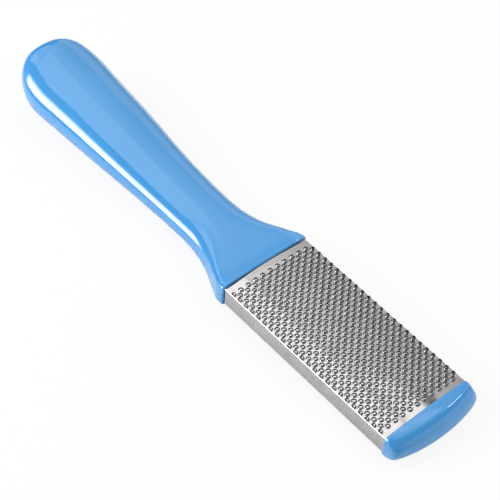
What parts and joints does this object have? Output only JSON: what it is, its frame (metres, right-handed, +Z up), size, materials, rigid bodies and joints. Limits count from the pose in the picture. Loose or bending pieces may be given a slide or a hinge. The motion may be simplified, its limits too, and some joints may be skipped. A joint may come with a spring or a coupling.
{
  "type": "double-sided foot file",
  "caption": "Long-handled foot file: a bright steel rasp head with punched teeth, coarse above and fine below, set in a glossy blue handle and end cap.",
  "frame": {"origin": "centre of the bounding box's bottom face: midway between the butt and the tip, on the centre line, at the height of the straight underside of the grip", "axes": "+X from the butt of the handle to the tip of the cap, +Y across the head, +Z up out of the coarse rasp face"},
  "size_m": [0.2504, 0.045, 0.0251],
  "materials": {
    "handle_plastic": "glossy moulded ABS, sky blue",
    "core_plastic": "moulded plastic, hidden inside",
    "steel": "bright rolled stainless steel, punched and folded"
  },
  "bodies": {
    "root": {"handle": "handle_plastic", "core": "core_plastic", "coarse_sheet": "steel", "fine_sheet": "steel", "end_cap": "handle_plastic"}
  },
  "joints": []
}
